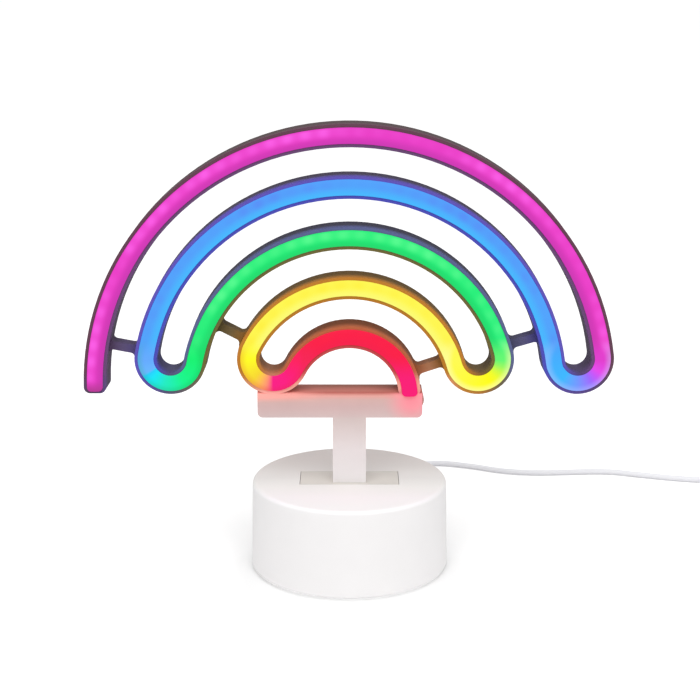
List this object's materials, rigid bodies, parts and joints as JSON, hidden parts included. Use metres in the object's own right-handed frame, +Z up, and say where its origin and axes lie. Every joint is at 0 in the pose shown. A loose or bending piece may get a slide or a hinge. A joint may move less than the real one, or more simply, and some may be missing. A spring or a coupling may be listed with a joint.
{
  "type": "rainbow desk light",
  "caption": "Rainbow-shaped desk light: a glowing multicolour strip in one snaking channel on a T-shaped stand, in a round base with battery bay, slide switch and coiled lead.",
  "frame": {"origin": "on the table, under the middle of the round base", "axes": "+Z up, +X to the viewer's right along the rainbow, +Y to the back, so the lit face looks along -Y"},
  "size_m": [0.4156, 0.2006, 0.2245],
  "materials": {
    "sign_plastic": "satin",
    "base_plastic": "satin white",
    "cord_white": "soft white sheath",
    "screw_steel": "zinc plated",
    "contact_metal": "nickel plated",
    "foot_rubber": "matte grey",
    "board": "solder mask",
    "board_black": "moulded black",
    "switch_grey": "satin",
    "strip_white": "flexible strip",
    "led_chip": "chip",
    "link_copper": "insulated wire",
    "wire_red": "insulated wire",
    "wire_black": "insulated wire",
    "tongue_white": "moulded",
    "glow_violet": "lit translucent strip",
    "glow_blue": "lit translucent strip",
    "glow_green": "lit translucent strip",
    "glow_yellow": "lit translucent strip",
    "glow_red": "lit translucent strip"
  },
  "bodies": {
    "light": {"base_bottom": "base_plastic", "base_screws": "screw_steel", "base_shell": "base_plastic", "battery_plates": "contact_metal", "battery_springs": "contact_metal", "board_parts": "board_black", "board_screws": "screw_steel", "clamp_screws": "screw_steel", "control_board": "board", "cord_clamp": "cord_white", "cord_coil": "cord_white", "cord_lead": "cord_white", "cord_tail": "cord_white", "cord_tie": "cord_white", "cover_screws": "screw_steel", "diffuser_blue": "glow_blue", "diffuser_green": "glow_green", "diffuser_red": "glow_red", "diffuser_violet": "glow_violet", "diffuser_yellow": "glow_yellow", "feed_wire_negative": "wire_black", "feed_wire_positive": "wire_red", "foot_screws": "screw_steel", "led_strip_blue": "strip_white", "led_strip_green": "strip_white", "led_strip_red": "strip_white", "led_strip_violet": "strip_white", "led_strip_yellow": "strip_white", "leds_blue": "led_chip", "leds_green": "led_chip", "leds_red": "led_chip", "leds_violet": "led_chip", "leds_yellow": "led_chip", "plug_grip": "cord_white", "plug_shell": "contact_metal", "plug_tongue": "tongue_white", "rubber_feet": "foot_rubber", "sign_housing": "sign_plastic", "stand_back_cover": "sign_plastic", "strain_relief": "cord_white", "strip_links": "link_copper", "supply_wires": "wire_black", "switch_body": "board_black"},
    "door": {"battery_door": "base_plastic"},
    "knob": {"switch_knob": "switch_grey"}
  },
  "joints": [
    {"name": "battery_door_hinge", "type": "hinge", "parent": "light", "child": "door", "pos_m": [0, 0.02425, 0.0008], "axis": [1, 0, 0], "range_deg": [0, 75]},
    {"name": "switch_slide", "type": "slide", "parent": "light", "child": "knob", "axis": [1, 0, 0], "range_m": [-0.003, 0]}
  ]
}
